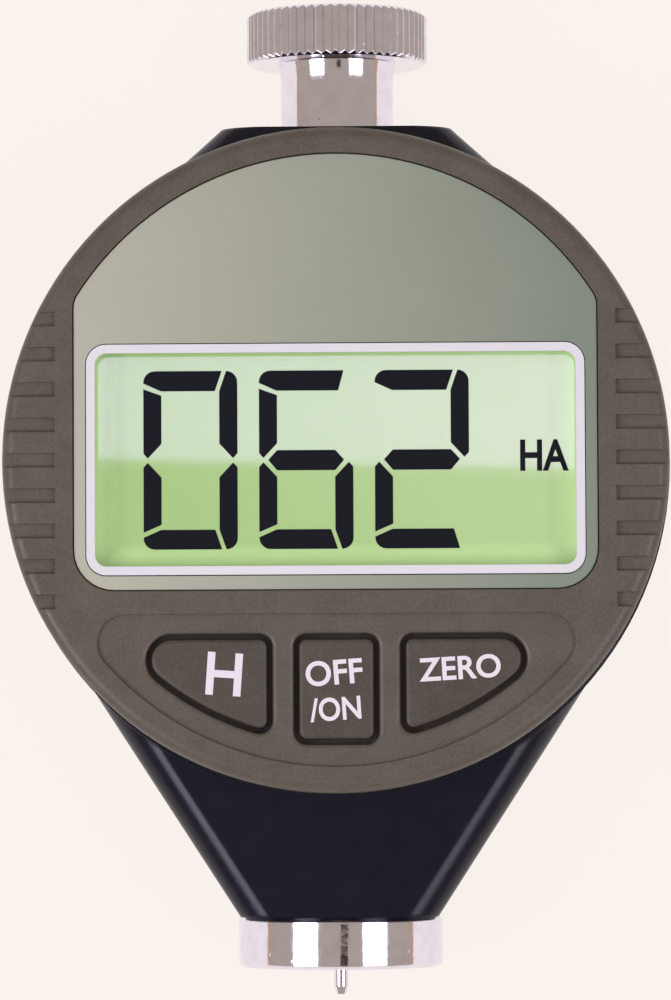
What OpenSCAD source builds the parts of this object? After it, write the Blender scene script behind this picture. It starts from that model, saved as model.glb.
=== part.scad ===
// Digital durometer, type A, lying on its back.
// +Z points out of the display, +Y towards the knob, z = 0 is the back plane.
// The spindle runs along Y at height axis_z. All sizes are in millimetres.

/* [Display module] */
// Diameter of the grey front housing
module_d = 57; // [54:0.5:64]
// Depth of the front housing, from the casting to the face
module_h = 9; // [8.6:0.1:12]
// Side wall of the front housing
module_wall = 2; // [1.6:0.1:2.6]
// Front wall of the front housing
face_t = 2.2; // [2:0.1:3]
// Rounding of the front edge
edge_round = 1.1; // [0.6:0.1:1.6]
// Rim between the outer edge and the panel's arc
rim_w = 2.3; // [1.8:0.1:3]

/* [Face panel and window] */
// Width of the silver panel between its straight sides
panel_w = 44.8; // [44:0.1:46]
// Panel's lower edge below the face centre
panel_drop = 11.2; // [10.8:0.1:12]
// Least rim of the panel round the window
panel_rim = 0.9; // [0.5:0.05:1]
// Rounding of the panel's lower corners
panel_corner = 3.5; // [2:0.1:5]
// Thickness of the panel
panel_t = 0.6; // [0.4:0.1:0.8]
// Panel face below the housing face
panel_sink = 0.2; // [0.1:0.05:0.4]
// Outer width of the window frame
window_w = 42.5; // [40:0.1:43]
// Outer height of the window frame
window_h = 19.7; // [18:0.1:20]
// Corner rounding of the window frame
window_corner = 1.7; // [1.2:0.1:2.5]
// Visible border of the window frame
frame_border = 0.75; // [0.6:0.05:1]
// Thickness of the clear window
lens_t = 1.2; // [0.8:0.1:1.4]
// Thickness of the display glass
lcd_t = 2.4; // [2:0.1:2.8]

/* [Keys] */
// Upper edge of the key field below the face centre
field_drop = 13.2; // [12.6:0.1:14]
// Depth of the key field below the housing face
field_depth = 0.3; // [0.2:0.05:0.5]
// Upper edge of the key pockets below the face centre
key_drop = 14.9; // [14.5:0.1:16]
// Radius of the arc that ends the pockets
key_arc_r = 24.3; // [23.5:0.1:25]
// Inner side of the outer pockets from the middle
side_key_x = 5.45; // [5:0.05:6.5]
// Width of the middle pocket
mid_key_w = 7.26; // [6:0.1:8]
// Gap between a key and its pocket
key_gap = 0.45; // [0.3:0.05:0.6]
// How far a key goes down
key_travel = 0.6; // [0.3:0.05:0.8]

/* [Grip grooves] */
// Grooves on each side of the face
groove_n = 9; // [5:2:11]
// Distance between grooves
groove_pitch = 3.02; // [2.6:0.02:3.2]
// Height of one groove
groove_w = 1.2; // [0.8:0.05:1.6]
// Depth of a groove
groove_depth = 0.45; // [0.2:0.05:0.8]
// Inner end of a groove from the middle
groove_x = 23.9; // [23.5:0.1:25]

/* [Casting] */
// Diameter of the round part of the casting
body_d = 57.8; // [54:0.2:64]
// Depth of the casting
body_h = 18.2; // [17.5:0.1:20]
// Wall around the round cavity
body_wall = 7.6; // [6.5:0.1:9]
// Wall between the cavity and the display module
front_wall = 2; // [1.6:0.1:3]
// Rounding of the rear edge
body_round = 2.6; // [1.5:0.1:3.5]
// Radius of the shoulder's flat top
top_r = 10.5; // [9:0.1:12]
// Shoulder's flat top above the round body
top_y = 0.7; // [0.5:0.1:5.1]
// Radius of the neck at the foot
neck_r = 8.6; // [8:0.1:9]
// Lower end of the neck below the round body
neck_y = 10.4; // [8.1:0.1:15.1]
// Rounding of the long edges of neck and shoulder
flank_round = 3; // [1:0.1:4]
// Thickness of the back cover
cover_t = 2; // [1.8:0.1:3]

/* [Foot and indenter] */
// Diameter of the presser foot
foot_d = 18; // [16:0.1:18.2]
// Height of the presser foot
foot_h = 4.5; // [4:0.1:6]
// Hole in the presser foot
foot_hole_d = 3; // [2.5:0.1:3.5]
// Diameter of the indenter
indenter_d = 1.25; // [1:0.01:1.4]
// Diameter of the indenter's flat end
tip_d = 0.79; // [0.5:0.01:0.9]
// Full angle of the indenter's cone
tip_angle = 35; // [25:1:45]
// How far the indenter stands out, and its travel
extension = 2.5; // [2:0.1:2.8]

/* [Handle] */
// Diameter of the knob
knob_d = 16; // [14:0.1:20]
// Height of the knob
knob_h = 4.45; // [3:0.05:6]
// Diameter of the post under the knob
post_d = 10; // [9:0.1:12]
// Length of the post
post_h = 6.5; // [5:0.1:9]
// Radius of the hollow flare between post and knob
post_fillet = 6.5; // [0.6:0.1:8]
// Height of the flare
post_flare = 1.9; // [0.6:0.1:3]
// Rounding of the post's lower edge
post_round = 0.4; // [0.2:0.05:0.8]
// Flutes around the knob
flute_n = 60; // [30:2:80]
// Depth of a flute
flute_depth = 0.3; // [0.1:0.05:0.5]

/* [Spindle and spring] */
// Diameter of the spindle
spindle_d = 4; // [3.4:0.1:4.4]
// Wire of the calibrated spring
wire_d = 0.8; // [0.5:0.05:0.9]
// Turns of the calibrated spring
spring_turns = 9; // [6:1:11]
// Length of the scale carrier along the spindle
carrier_l = 9; // [7:0.5:11]

/* [Clearances] */
// Radial play of the spindle in its bushes
run_fit = 0.04; // [0.02:0.01:0.08]
// Play between parts that are fixed together
fix_fit = 0.05; // [0.02:0.01:0.1]
// Space between parts that move past each other
free_gap = 0.3; // [0.2:0.05:0.5]

/* [Hidden] */
$fn = 96;
module_r = module_d / 2;
module_in_r = module_r - module_wall;
panel_r = module_r - rim_w;
panel_hw = panel_w / 2;
body_r = body_d / 2;
cavity_r = body_r - body_wall;
top_end = body_r + top_y;
neck_end = body_r + neck_y;
spindle_r = spindle_d / 2;
foot_r = foot_d / 2;

// Heights above the back plane
cover_proud = 0.2;
body_z0 = cover_proud;
body_z1 = body_z0 + body_h;
cavity_z1 = body_z1 - front_wall;
axis_z = body_z0 + body_h / 2;
neck_inset = 0.3;
top_soft = 0.45;
foot_soft = 0.4;
flank_share = 0.97;
face_z = body_z1 + module_h;
ceil_z = face_z - face_t;
scale_z0 = body_z1 + free_gap;
scale_t = 0.8;
board_z0 = scale_z0 + scale_t + free_gap;
board_t = 1;
chip_r = 4.4;
chip_h = 1.15;
board_z1 = board_z0 + board_t;
panel_z1 = face_z - panel_sink;
panel_z0 = panel_z1 - panel_t;
field_z = face_z - field_depth;
lcd_z1 = ceil_z - fix_fit;
lcd_z0 = lcd_z1 - lcd_t;
frame_z0 = ceil_z;
frame_z1 = panel_z1 + 0.08;
lip_t = 0.35;
lens_z1 = frame_z1 - lip_t - fix_fit;
lens_z0 = max(frame_z0 + 0.15, lens_z1 - lens_t);

// Display glass
lcd_w = window_w + 1.2;
lcd_h = window_h + 0.6;

// Keys
key_lip = 0.3;
key_top_z = field_z + 0.12;
key_soft = 0.3;
flange_t = 0.8;
flange_z1 = ceil_z - fix_fit;
stem_z0 = flange_z1 - flange_t - 0.5;
stem_r = 1.6;
mat_t = 0.6;
dome_z1 = stem_z0 - key_travel - fix_fit;
mid_key_y = -(key_drop + key_arc_r) / 2;
side_key_c = [(side_key_x + 15) / 2, -(key_drop + 3.6)];

// Screws that hold the housing on the casting
house_screw_r = 1;
house_boss_r = 1.9;
house_head_r = 1.9;
house_head_h = 1.2;
house_rim = 0.4;
house_in = 7.5;
house_y = (lcd_h / 2 + key_drop - key_lip) / 2;
house_ring_r = min(cavity_r - house_head_r - house_rim, module_in_r - house_in);
house_x = sqrt(house_ring_r * house_ring_r - house_y * house_y);
// Screws that hold the board in the housing
board_screw_r = 0.8;
board_post_r = 1.6;
board_y = lcd_h / 2 + board_post_r + 0.4;
board_x = sqrt(pow(module_in_r - board_post_r - 0.3, 2) - board_y * board_y);
// Screws that hold the back cover
cover_screw_r = 1;
cover_boss_r = 2.6;
cover_sink = 1.2;
cover_screw_l = 7.6;
cover_head = 1.1;
cover_head_h = 0.9;
cover_ledge = 1.4;
cover_in_r = cavity_r + cover_ledge;
cover_turn = 28;
cover_ring_r = cavity_r - 1.6;

// Straight flanks of neck and shoulder, turned in a little from the tangent so that they
// cross the round body cleanly; mid is where a flank passes nearest to the centre
flank_in = 0.7;
function flank(r, y) =
    let (d = norm([r, y]), a = asin(body_r / d) - flank_in, b = a - atan2(r, y))
    d * sin(a) * [cos(b), sin(b)];
neck_mid = flank(neck_r, neck_end);
top_mid = flank(top_r, top_end);

// Foot, spindle and what rides on it, along Y
foot_y0 = -neck_end - foot_h;
tip_y = foot_y0 - extension;
tip_h = (indenter_d - tip_d) / 2 / tan(tip_angle / 2);
spigot_r = 5.5;
spigot_l = 5;
bush_r = spindle_r + 1.5;
bush_flange_r = bush_r + 1.1;
bush_flange_t = 1;
seat_y = -(cavity_r + 0.3);
stop_y0 = seat_y + bush_flange_t + fix_fit;
stop_l = 4;
stop_r = spindle_r + 1.7;
carrier_y0 = -6;
carrier_y1 = carrier_y0 + carrier_l;
carrier_hw = 5;
arm_hw = 3.5;
scale_hw = 5.5;
scale_over = 1;
bush_room = 0.6;
spring_seat_t = 1.2;
spring_r = spindle_r + 0.65 + wire_d / 2;
seat_r = spring_r + wire_d / 2 + 0.3;
thread_r = 4;
adjust_y0 = cavity_r - 1.4;
adjust_l = 3;
shank_y0 = adjust_y0 + adjust_l + 0.3;
guide_r = spindle_r + 0.65;
guide_l = top_end - shank_y0 - 1;
spindle_y0 = -neck_end - 0.3;
spindle_y1 = shank_y0 + guide_l - extension - 0.6;
knob_y0 = top_end + post_h;
knob_y1 = knob_y0 + knob_h;

// Battery under its cap in the back cover
bat_r = 5.8;
bat_h = 5.4;
bat_in = 0.3;
bat_x = -(carrier_hw + cavity_r - bat_in) / 2;
cap_r = 6.6;
cap_z0 = 0.3;
cap_lug = 0.8;
cap_lug_r = cap_r + cap_lug;
cap_lug_w = 3.4;
cap_lug_t = 0.9;
cap_z1 = cover_t + fix_fit + cap_lug_t;
bat_z0 = cap_z1 + fix_fit;
contact_z0 = bat_z0 + bat_h + fix_fit;
contact_t = 0.5;
contact_r = 4.4;
contact_hole_r = 1.2;
contact_sheet = 0.2;
holder_z0 = cap_z1 + 0.4;
holder_floor = contact_z0 + contact_t + fix_fit;

// Outlines as point lists, all with the same number of points at any inset
function arc(c, r, a0, a1, n = 8) =
    [for (i = [0 : n]) let (a = a0 + (a1 - a0) * i / n) c + r * [cos(a), sin(a)]];

function rounded(r, inset) = max(0.06, r - inset);

function rect_outline(w, h, r, n = 8) = concat(
    arc([w / 2 - r, h / 2 - r], r, 0, 90, n),
    arc([r - w / 2, h / 2 - r], r, 90, 180, n),
    arc([r - w / 2, r - h / 2], r, 180, 270, n),
    arc([w / 2 - r, r - h / 2], r, 270, 360, n));

function panel_outline(inset) =
    let (
        big = panel_r - inset,
        hw = panel_hw - inset,
        low = panel_drop - inset,
        rb = rounded(panel_corner, inset),
        rt = 2,
        cx = hw - rt,
        cy = sqrt(pow(big - rt, 2) - cx * cx),
        a = atan2(cy, cx))
    concat(
        arc([hw - rb, rb - low], rb, -90, 0),
        arc([cx, cy], rt, 0, a),
        arc([0, 0], big, a, 180 - a, 56),
        arc([-cx, cy], rt, 180 - a, 180),
        arc([rb - hw, rb - low], rb, 180, 270));

function field_outline(big, drop, round) =
    let (
        cy = -(drop + round),
        cx = sqrt(pow(big - round, 2) - cy * cy),
        a = atan2(cy, cx))
    concat(
        arc([cx, cy], round, a, 90),
        arc([-cx, cy], round, 90, 180 - a),
        arc([0, 0], big, 180 - a, 360 + a, 48));

function side_key(inset) =
    let (
        big = key_arc_r - inset,
        top = key_drop + inset,
        x = side_key_x + inset,
        r1 = rounded(2.2, inset),
        r2 = rounded(1.1, inset),
        c1y = -(top + r1),
        c1x = sqrt(pow(big - r1, 2) - c1y * c1y),
        a1 = atan2(c1y, c1x),
        c3x = x + r2,
        c3y = -sqrt(pow(big - r2, 2) - c3x * c3x),
        a3 = atan2(c3y, c3x))
    concat(
        arc([c1x, c1y], r1, a1, 90, 12),
        arc([x + r2, -(top + r2)], r2, 90, 180),
        arc([c3x, c3y], r2, 180, 360 + a3),
        arc([0, 0], big, 360 + a3, 360 + a1, 16));

function mid_key(inset) =
    [for (p = rect_outline(
            mid_key_w - 2 * inset,
            key_arc_r - key_drop - 2 * inset,
            rounded(1.1, inset)))
        p + [0, mid_key_y]];

function mirrored(points) = [for (i = [len(points) - 1 : -1 : 0]) [-points[i][0], points[i][1]]];

function key_outline(k, inset) =
    k == 0 ? mirrored(side_key(inset)) : k == 1 ? mid_key(inset) : side_key(inset);

key_centres = [[-side_key_c[0], side_key_c[1]], [0, mid_key_y], side_key_c];

// Solid between rings of equal length at given heights
module loft(rings, heights) {
    n = len(rings[0]);
    m = len(rings);
    points = [for (k = [0 : m - 1]) for (p = rings[k]) [p[0], p[1], heights[k]]];
    sides = [for (k = [0 : m - 2]) for (i = [0 : n - 1])
        let (j = (i + 1) % n, a = k * n, b = a + n)
        each [[a + i, b + i, b + j], [a + i, b + j, a + j]]];
    ends = [[for (i = [0 : n - 1]) i], [for (i = [n - 1 : -1 : 0]) (m - 1) * n + i]];
    polyhedron(points = points, faces = concat(sides, ends), convexity = 4);
}

// A profile of radius and Y, turned about the spindle's axis
module turned(fn = 96) {
    translate([0, 0, axis_z]) rotate([-90, 0, 0]) rotate_extrude($fn = fn) children();
}

// A rod along Y about the spindle's axis
module rod(r, y0, y1) {
    translate([0, y0, axis_z]) rotate([-90, 0, 0]) cylinder(r = r, h = y1 - y0);
}

module slab(points, z0, z1) {
    translate([0, 0, z0]) linear_extrude(z1 - z0) polygon(points);
}

module block(x, y, z) {
    translate([x[0], y[0], z[0]]) cube([x[1] - x[0], y[1] - y[0], z[1] - z[0]]);
}

// The panel's outline with the rim round the window, drawn in by inset
module panel_form(inset, z0, z1) {
    rim = 2 * (panel_rim - inset);
    slab(panel_outline(inset), z0, z1);
    slab(rect_outline(window_w + rim, window_h + rim, window_corner + rim / 2), z0, z1);
}

// A plate of the casting's depth with some of its sides rounded along their edges
module soft_plate(points, sides) {
    z0 = body_z0 + neck_inset;
    z1 = body_z1 - neck_inset;
    r = flank_round;
    d = flank_share * r;
    difference() {
        slab(points, z0, z1);
        for (i = sides) let (p = points[i], q = points[(i + 1) % len(points)], l = norm(q - p))
            translate([p[0], p[1], 0]) rotate(atan2(q[1] - p[1], q[0] - p[0]))
                for (e = [[z0 - 1, z0 + d, z0 + d], [z1 - d, z1 + 1, z1 - d]]) difference() {
                    block([-r, l + r], [-1, d], [e[0], e[1]]);
                    translate([-r - 1, d, e[2]]) rotate([0, 90, 0]) cylinder(r = r, h = l + 2 * r + 2);
                }
    }
}

// Children at each corner of a rectangle about the origin
module corners(x, y) {
    for (sx = [-1, 1]) for (sy = [-1, 1]) translate([sx * x, sy * y, 0]) children();
}

module cover_places() {
    corners(cover_ring_r * sin(cover_turn), cover_ring_r * cos(cover_turn)) children();
}

// Screw with its head down, head seat at z = 0
module screw(r, l, head_r, head_h) {
    slot = head_r * 0.3;
    difference() {
        union() {
            translate([0, 0, -head_h / 2]) cylinder(r = r, h = l + head_h / 2);
            translate([0, 0, -head_h]) cylinder(r = head_r, h = head_h);
        }
        for (a = [0, 90]) rotate(a)
            translate([-head_r * 0.6, -slot / 2, -head_h - 1])
                cube([head_r * 1.2, slot, 1 + head_h * 0.5]);
    }
}

module frame_casting() {
    color([0.07, 0.07, 0.08]) difference() {
        union() {
            rotate_extrude() union() {
                translate([0, body_z0]) square([body_r - body_round, body_h]);
                translate([0, body_z0 + body_round]) square([body_r, body_h - body_round]);
                translate([body_r - body_round, body_z0 + body_round]) circle(body_round);
            }
            soft_plate([
                [-neck_r, -neck_end], [neck_r, -neck_end],
                [neck_mid[0], -neck_mid[1]], [-neck_mid[0], -neck_mid[1]]], [1, 3]);
            soft_plate([
                [top_mid[0], top_mid[1]], [top_r, top_end - top_soft], [top_r - top_soft, top_end],
                [top_soft - top_r, top_end], [-top_r, top_end - top_soft],
                [-top_mid[0], top_mid[1]]], [0, 4]);
        }
        // Cavity and the step for the back cover
        difference() {
            translate([0, 0, -1]) cylinder(r = cavity_r, h = cavity_z1 + 1);
            cover_places() translate([0, 0, cover_t]) cylinder(r = cover_boss_r, h = 30);
        }
        translate([0, 0, -1]) cylinder(r = cover_in_r, h = cover_t + 1);
        cover_places()
            cylinder(r = cover_screw_r + fix_fit, h = cover_sink + cover_screw_l + 0.7);
        // Slot for the scale carrier, holes for the housing screws and the battery wires
        block([-arm_hw - 0.15, arm_hw + 0.15],
              [carrier_y0 - 0.6, carrier_y1 + extension + 0.6],
              [cavity_z1 - 1, body_z1 + 1]);
        corners(house_x, house_y)
            translate([0, 0, cavity_z1 - 1]) cylinder(r = house_screw_r + 0.2, h = front_wall + 2);
        translate([bat_x, 0, cavity_z1 - 1]) cylinder(r = 1, h = front_wall + 2);
        // Bores on the spindle's axis
        rod(thread_r, cavity_r - 3, top_end + 1);
        rod(bush_r + fix_fit, -neck_end - 1, -cavity_r + 3);
        rod(bush_flange_r + 0.4, seat_y, -cavity_r + 3);
        rod(spigot_r + fix_fit, -neck_end - 1, -neck_end + spigot_l + 0.4);
    }
}

module back_cover() {
    color([0.09, 0.09, 0.1]) difference() {
        cylinder(r = cover_in_r - 0.15, h = cover_t - fix_fit);
        cover_places() {
            translate([0, 0, -1]) cylinder(r = cover_screw_r + 0.15, h = cover_t + 2);
            translate([0, 0, -1]) cylinder(r = cover_screw_r + cover_head + 0.2, h = 1 + cover_sink);
        }
        translate([bat_x, 0, -1]) {
            cylinder(r = cap_r + free_gap, h = cover_t + 2);
            rotate(60) intersection() {
                cylinder(r = cap_lug_r + free_gap, h = cover_t + 2);
                block([-cap_lug_w / 2 - free_gap, cap_lug_w / 2 + free_gap],
                      [-cap_r - 2, cap_r + 2], [-1, cover_t + 3]);
            }
        }
    }
}

module cover_screws() {
    color([0.5, 0.5, 0.52]) cover_places()
        translate([0, 0, cover_sink])
            screw(cover_screw_r, cover_screw_l, cover_screw_r + cover_head, cover_head_h);
}

module battery_cap() {
    color([0.12, 0.12, 0.13]) translate([bat_x, 0, 0]) difference() {
        union() {
            translate([0, 0, cap_z0]) cylinder(r = cap_r, h = cover_t - cap_z0);
            translate([0, 0, cap_z0]) cylinder(r = cap_r - 0.6, h = cap_z1 - cap_z0);
            intersection() {
                translate([0, 0, cover_t + fix_fit]) cylinder(r = cap_lug_r, h = cap_lug_t);
                block([-cap_lug_w / 2, cap_lug_w / 2], [-cap_r - 2, cap_r + 2], [0, cap_z1 + 1]);
            }
        }
        block([-4.6, 4.6], [-0.8, 0.8], [-1, cap_z0 + 0.9]);
    }
}

module battery() {
    color([0.75, 0.75, 0.77]) translate([bat_x, 0, bat_z0]) rotate_extrude() polygon([
        [0, 0], [bat_r - 0.9, 0], [bat_r - 0.9, 0.6], [bat_r - 0.3, 0.6], [bat_r, 0.9],
        [bat_r, bat_h - 0.3], [bat_r - 0.3, bat_h], [0, bat_h]]);
}

module battery_holder() {
    wall_r = bat_r + 0.2;
    color([0.1, 0.1, 0.1]) translate([bat_x, 0, 0]) rotate_extrude() polygon([
        [wall_r, holder_z0], [wall_r + 0.9, holder_z0], [wall_r + 0.9, holder_floor + 1],
        [3.2, holder_floor + 1], [3.2, cavity_z1], [1, cavity_z1],
        [1, holder_floor], [wall_r, holder_floor]]);
}

module battery_contact() {
    color([0.8, 0.75, 0.55]) translate([bat_x, 0, contact_z0]) rotate_extrude() polygon([
        [contact_hole_r, contact_t - contact_sheet], [contact_r * 0.45, contact_t - contact_sheet],
        [contact_r * 0.82, 0], [contact_r, 0], [contact_r, contact_sheet],
        [contact_r * 0.82, contact_sheet], [contact_r * 0.45, contact_t], [contact_hole_r, contact_t]]);
}

module handle() {
    knob_r = knob_d / 2;
    post_r = post_d / 2;
    into = 0.3;
    flare_h = min(post_flare, post_fillet - into);
    flare_w = post_fillet - sqrt(pow(post_fillet, 2) - pow(flare_h + into, 2));
    bevel = 0.35;
    color([0.82, 0.82, 0.84]) difference() {
        union() {
            intersection() {
                translate([0, knob_y0, axis_z]) rotate([-90, 0, 0]) linear_extrude(knob_h)
                    polygon([for (i = [0 : 2 * flute_n - 1])
                        let (a = 180 * i / flute_n, r = knob_r - (i % 2) * flute_depth)
                        r * [cos(a), sin(a)]]);
                turned() polygon([
                    [0, knob_y0], [knob_r - bevel, knob_y0], [knob_r + 0.05, knob_y0 + bevel],
                    [knob_r + 0.05, knob_y1 - bevel], [knob_r - bevel, knob_y1], [0, knob_y1]]);
            }
            turned() difference() {
                union() {
                    translate([0, shank_y0]) square([thread_r - fix_fit, knob_y0 - shank_y0]);
                    translate([0, top_end]) square([post_r - post_round, post_h + into]);
                    translate([0, top_end + post_round])
                        square([post_r, post_h - post_round + into]);
                    translate([post_r - post_round, top_end + post_round])
                        circle(post_round, $fn = 48);
                    translate([0, knob_y0 - flare_h])
                        square([post_r + flare_w, flare_h + into]);
                }
                translate([post_r + post_fillet, knob_y0 - flare_h]) circle(post_fillet, $fn = 192);
            }
        }
        rod(guide_r + fix_fit, shank_y0 - 1, top_end + 2);
    }
}

module upper_bush() {
    color([0.78, 0.62, 0.3]) turned() polygon([
        [spindle_r + run_fit, shank_y0 + 0.1], [guide_r, shank_y0 + 0.1],
        [guide_r, shank_y0 + guide_l], [spindle_r + run_fit, shank_y0 + guide_l]]);
}

module spring_adjuster() {
    inner = spindle_r + 0.6;
    color([0.78, 0.62, 0.3]) difference() {
        turned() polygon([
            [inner, adjust_y0], [thread_r - fix_fit, adjust_y0],
            [thread_r - fix_fit, adjust_y0 + adjust_l], [inner, adjust_y0 + adjust_l]]);
        block([-6, 6], [adjust_y0 + adjust_l - 0.8, adjust_y0 + adjust_l + 1],
              [axis_z - 0.5, axis_z + 0.5]);
    }
}

// Closed end turns, even pitch between them
module calibrated_spring() {
    around = 8;
    per_turn = 20;
    wire_r = wire_d / 2;
    y0 = carrier_y1 + spring_seat_t + wire_r + 0.03;
    y1 = adjust_y0 - wire_r - 0.03;
    steps = spring_turns * per_turn;
    dead = wire_d * 1.08;
    lift = (y1 - y0 - 2 * dead) / (spring_turns - 2);
    function climb(t) =
        t < 1 ? t * dead
        : t < spring_turns - 1 ? dead + (t - 1) * lift
        : y1 - y0 - (spring_turns - t) * dead;
    points = [for (i = [0 : steps]) for (k = [0 : around - 1])
        let (
            t = i / per_turn,
            a = 360 * t,
            b = 360 * k / around,
            r = spring_r + wire_r * cos(b))
        [r * cos(a), y0 + climb(t) + wire_r * sin(b), axis_z + r * sin(a)]];
    sides = [for (i = [0 : steps - 1]) for (k = [0 : around - 1])
        let (j = (k + 1) % around, a = i * around, b = a + around)
        each [[a + k, b + k, b + j], [a + k, b + j, a + j]]];
    ends = [
        [for (k = [0 : around - 1]) k],
        [for (k = [around - 1 : -1 : 0]) steps * around + k]];
    color([0.6, 0.6, 0.62]) polyhedron(points = points, faces = concat(sides, ends), convexity = 10);
}

module spring_seat() {
    color([0.78, 0.62, 0.3]) turned() polygon([
        [spindle_r + fix_fit, carrier_y1], [seat_r, carrier_y1],
        [seat_r, carrier_y1 + spring_seat_t], [spindle_r + fix_fit, carrier_y1 + spring_seat_t]]);
}

module spindle() {
    hole_r = indenter_d / 2 + fix_fit;
    color([0.7, 0.7, 0.72]) turned() polygon([
        [hole_r, spindle_y0], [spindle_r - 0.3, spindle_y0], [spindle_r, spindle_y0 + 0.3],
        [spindle_r, spindle_y1 - 0.4], [spindle_r - 0.4, spindle_y1], [0, spindle_y1],
        [0, spindle_y0 + 4.2], [hole_r, spindle_y0 + 4.2]]);
}

module scale_carrier() {
    color([0.85, 0.85, 0.82]) difference() {
        union() {
            block([-carrier_hw, carrier_hw], [carrier_y0, carrier_y1],
                  [axis_z - 4.2, axis_z + 4.8]);
            block([-arm_hw, arm_hw], [carrier_y0, carrier_y1], [axis_z + 4, scale_z0]);
        }
        rod(spindle_r + fix_fit, carrier_y0 - 1, carrier_y1 + 1);
        translate([0, (carrier_y0 + carrier_y1) / 2, axis_z]) rotate([0, 90, 0])
            cylinder(r = 1 + fix_fit, h = carrier_hw + 1);
    }
}

module carrier_screw() {
    length = carrier_hw - spindle_r - 0.1;
    color([0.5, 0.5, 0.52])
        translate([carrier_hw, (carrier_y0 + carrier_y1) / 2, axis_z]) rotate([0, -90, 0])
            screw(1, length, 1.9, 1.2);
}

module scale_plate() {
    color([0.2, 0.5, 0.3]) block([-scale_hw, scale_hw],
                                 [carrier_y0 - scale_over, carrier_y1 + scale_over],
                                 [scale_z0, scale_z0 + scale_t]);
}

module stop_collar() {
    color([0.7, 0.7, 0.72]) difference() {
        turned() polygon([
            [spindle_r + fix_fit, stop_y0], [stop_r, stop_y0],
            [stop_r, stop_y0 + stop_l], [spindle_r + fix_fit, stop_y0 + stop_l]]);
        translate([0, stop_y0 + stop_l / 2, axis_z]) rotate([0, 90, 0])
            cylinder(r = 0.8 + fix_fit, h = stop_r + 1);
    }
}

module collar_screw() {
    color([0.3, 0.3, 0.32])
        translate([spindle_r + 0.1, stop_y0 + stop_l / 2, axis_z]) rotate([0, 90, 0])
            difference() {
                cylinder(r = 0.8, h = stop_r - spindle_r - 0.4);
                translate([0, 0, stop_r - spindle_r - 0.9]) cylinder(r = 0.4, h = 2, $fn = 6);
            }
}

module indenter() {
    r = indenter_d / 2;
    color([0.75, 0.75, 0.77]) turned() polygon([
        [0, tip_y], [tip_d / 2, tip_y], [r, tip_y + tip_h],
        [r, spindle_y0 + 4], [0, spindle_y0 + 4]]);
}

module lower_bush() {
    inner = spindle_r + run_fit;
    y0 = -neck_end + spigot_l + bush_room;
    color([0.78, 0.62, 0.3]) turned() polygon([
        [inner, y0], [bush_r, y0], [bush_r, seat_y], [bush_flange_r, seat_y],
        [bush_flange_r, seat_y + bush_flange_t], [inner, seat_y + bush_flange_t]]);
}

module presser_foot() {
    bore_r = spindle_r + 0.5;
    y1 = -neck_end;
    hole_r = foot_hole_d / 2;
    color([0.82, 0.82, 0.84]) turned() polygon([
        [hole_r, foot_y0], [foot_r - 0.3, foot_y0], [foot_r, foot_y0 + 0.3],
        [foot_r, y1 - foot_soft], [foot_r - foot_soft, y1], [spigot_r, y1], [spigot_r, y1 + spigot_l],
        [bore_r, y1 + spigot_l], [bore_r, y1 - 1.6], [hole_r, y1 - 1.6]]);
}

module front_housing() {
    z0 = body_z1;
    depth = module_h;
    color([0.38, 0.35, 0.33]) difference() {
        union() {
            difference() {
                rotate_extrude($fn = 180) union() {
                    translate([0, z0]) square([module_r - edge_round, depth]);
                    translate([0, z0]) square([module_r, depth - edge_round]);
                    translate([module_r - edge_round, face_z - edge_round]) circle(edge_round);
                }
                translate([0, 0, z0 - 1]) cylinder(r = module_in_r, h = ceil_z - z0 + 1);
            }
            corners(house_x, house_y)
                translate([0, 0, z0]) cylinder(r = house_boss_r, h = ceil_z - z0 + 0.3, $fn = 48);
            corners(board_x, board_y)
                translate([0, 0, board_z1])
                    cylinder(r = board_post_r, h = ceil_z - board_z1 + 0.3, $fn = 48);
        }
        corners(house_x, house_y)
            translate([0, 0, z0 - 1])
                cylinder(r = house_screw_r + fix_fit, h = ceil_z - z0 + 0.6, $fn = 48);
        corners(board_x, board_y)
            translate([0, 0, board_z1 - 1])
                cylinder(r = board_screw_r + fix_fit, h = ceil_z - board_z1 + 0.6, $fn = 48);
        // Seat of the panel, window opening, key field
        panel_form(0, panel_z0, face_z + 1);
        slab(rect_outline(window_w + 0.2, window_h + 0.2, window_corner + 0.1), ceil_z - 1, face_z + 1);
        slab(field_outline(panel_r, field_drop, 2.4), field_z, face_z + 1);
        // Key pockets with a soft upper edge
        for (k = [0 : 2]) loft(
            [key_outline(k, 0), key_outline(k, 0), key_outline(k, -0.09), key_outline(k, -0.32),
             key_outline(k, -0.32)],
            [ceil_z - 1, field_z - 0.32, field_z - 0.1, field_z, face_z + 1]);
        // Grip grooves
        for (i = [0 : groove_n - 1]) for (s = [-1, 1])
            translate([s * (groove_x + 5), (i - (groove_n - 1) / 2) * groove_pitch, face_z])
                cube([10, groove_w, 2 * groove_depth], center = true);
    }
}

module housing_screws() {
    color([0.5, 0.5, 0.52]) corners(house_x, house_y)
        translate([0, 0, cavity_z1])
            screw(house_screw_r, ceil_z - cavity_z1 - 1.4, house_head_r, house_head_h);
}

module main_board() {
    color([0.1, 0.4, 0.2]) difference() {
        translate([0, 0, board_z0]) cylinder(r = module_in_r - free_gap, h = board_t);
        corners(house_x, house_y)
            translate([0, 0, board_z0 - 1]) cylinder(r = house_boss_r + 0.2, h = board_t + 2, $fn = 48);
        corners(board_x, board_y)
            translate([0, 0, board_z0 - 1]) cylinder(r = board_screw_r + 0.2, h = board_t + 2, $fn = 48);
    }
}

module board_screws() {
    color([0.5, 0.5, 0.52]) corners(board_x, board_y)
        translate([0, 0, board_z0]) screw(board_screw_r, ceil_z - board_z0 - 1, 1.5, 0.8);
}

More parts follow.
